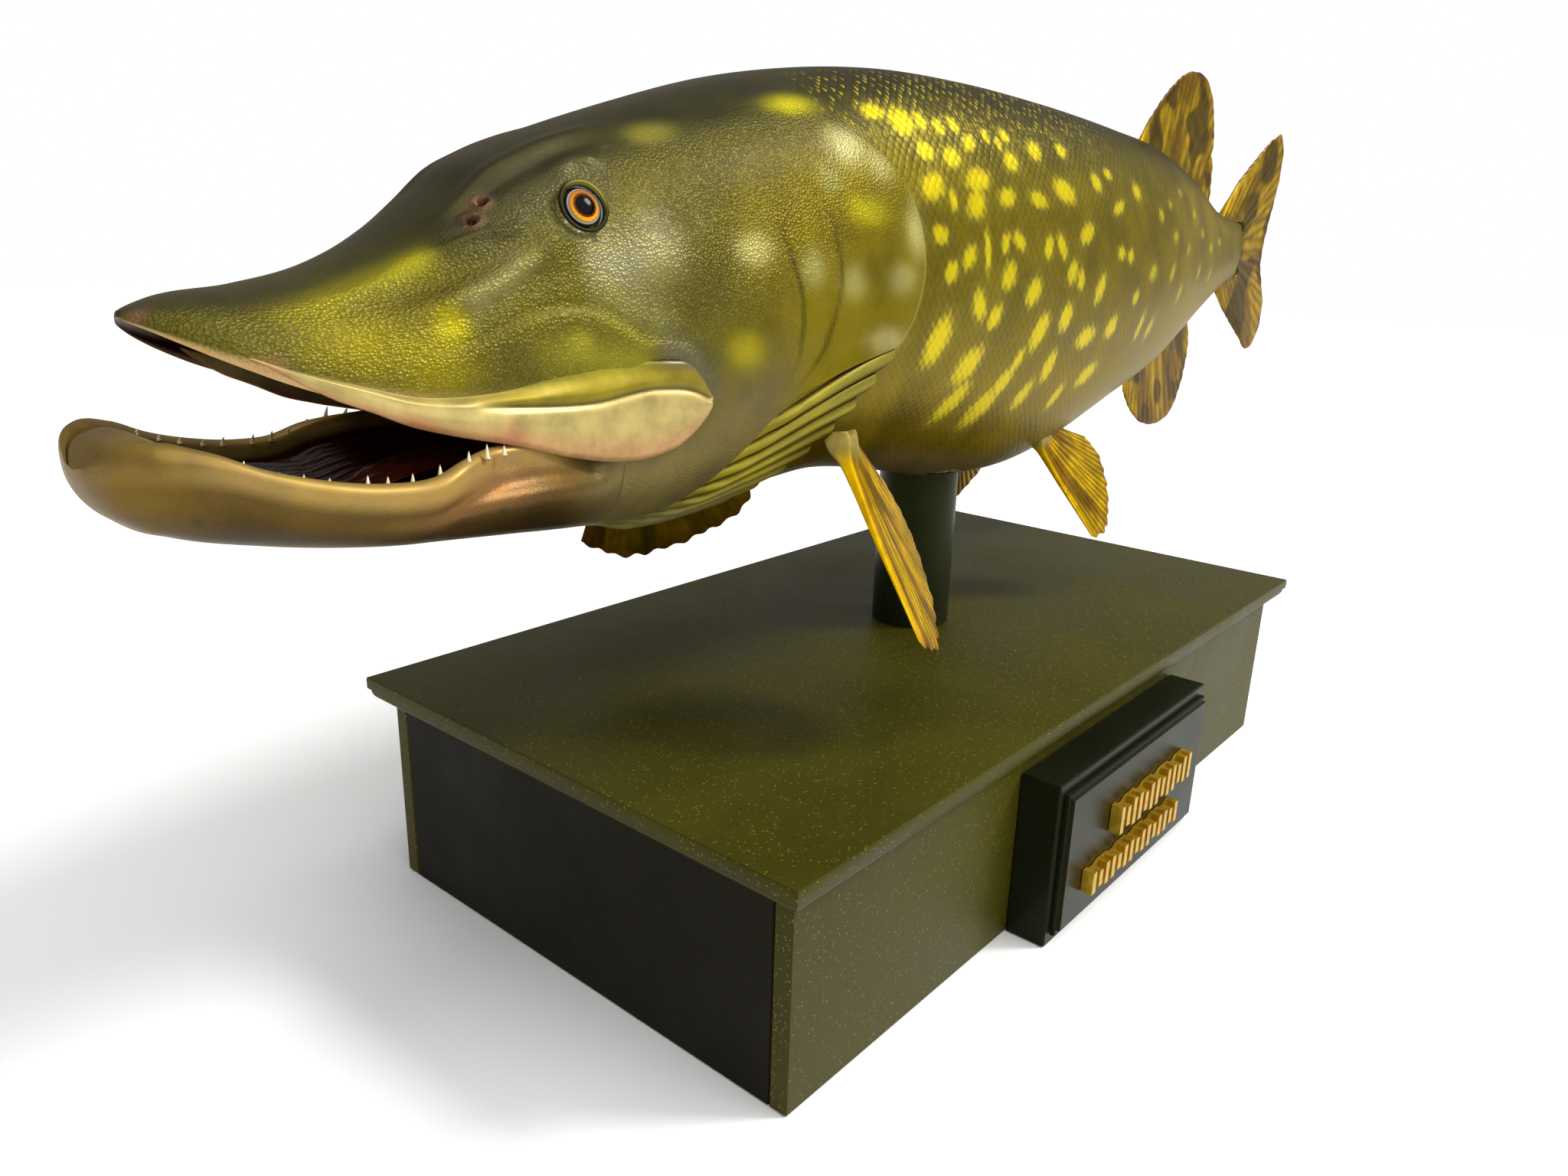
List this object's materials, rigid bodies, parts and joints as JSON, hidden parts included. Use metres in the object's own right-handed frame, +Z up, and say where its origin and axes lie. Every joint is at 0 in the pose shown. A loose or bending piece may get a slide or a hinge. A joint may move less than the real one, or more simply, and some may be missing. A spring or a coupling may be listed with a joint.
{
  "type": "mounted display fish",
  "caption": "Life-size open-mouthed pike model, hollow cast with glass eyes and ribbed fins, lifting off a square spigot on a post above a boxed plinth with a nameplate.",
  "frame": {"origin": "middle of the plinth's underside", "axes": "+X from the fish's head to its tail along the plinth, +Z up, the nameplate faces -Y"},
  "size_m": [1.3058, 0.406, 0.5951],
  "materials": {
    "fish_skin": "airbrushed polyester resin casting under a gloss lacquer, olive with yellow spots",
    "pale_jaw": "airbrushed resin casting, cream and pale olive, under lacquer",
    "mouth_lining": "dark red-brown painted resin, wet gloss",
    "tooth": "cream resin, gloss",
    "eye_glass": "glass eye with an amber iris and black pupil",
    "fin_resin": "cast resin fins, amber and yellow with dark streaks, lacquered",
    "olive_paint": "board with dark olive stone-effect paint, fine pale speckle",
    "post_paint": "steel post in satin dark green-grey paint",
    "gold_paint": "raised bars in gold paint",
    "raw_timber": "unpainted timber, out of sight",
    "steel": "bright steel, out of sight"
  },
  "bodies": {
    "stand": {"back_panel": "olive_paint", "bottom_panel": "raw_timber", "corner_block_head_back": "raw_timber", "corner_block_head_front": "raw_timber", "corner_block_tail_back": "raw_timber", "corner_block_tail_front": "raw_timber", "front_panel": "olive_paint", "head_end_panel": "olive_paint", "nameplate": "olive_paint", "nameplate_block": "olive_paint", "post": "post_paint", "post_bolt": "steel", "post_flange": "steel", "raised_bars_lower": "gold_paint", "raised_bars_upper": "gold_paint", "spigot": "steel", "tail_end_panel": "olive_paint", "top_board": "olive_paint"},
    "fish": {"anal_fin": "fin_resin", "body_shell_left": "fish_skin", "body_shell_right": "fish_skin", "dorsal_fin": "fin_resin", "eye_left": "eye_glass", "eye_right": "eye_glass", "gill_cover_left": "fish_skin", "gill_cover_right": "fish_skin", "gill_membrane_left": "fish_skin", "gill_membrane_right": "fish_skin", "head_casting": "fish_skin", "lower_jaw": "pale_jaw", "lower_teeth_left": "tooth", "lower_teeth_right": "tooth", "maxilla_left": "pale_jaw", "maxilla_right": "pale_jaw", "mounting_block": "raw_timber", "mouth_floor_insert": "mouth_lining", "palate_insert": "mouth_lining", "pectoral_fin_left": "fin_resin", "pectoral_fin_right": "fin_resin", "pelvic_fin_left": "fin_resin", "pelvic_fin_right": "fin_resin", "receiver_tube": "steel", "tail_fin": "fin_resin", "tongue": "mouth_lining", "upper_teeth_left": "tooth", "upper_teeth_right": "tooth"}
  },
  "joints": [
    {"name": "fish_lift", "type": "slide", "parent": "stand", "child": "fish", "axis": [0, 0, 1], "range_m": [0, 0.11]}
  ]
}
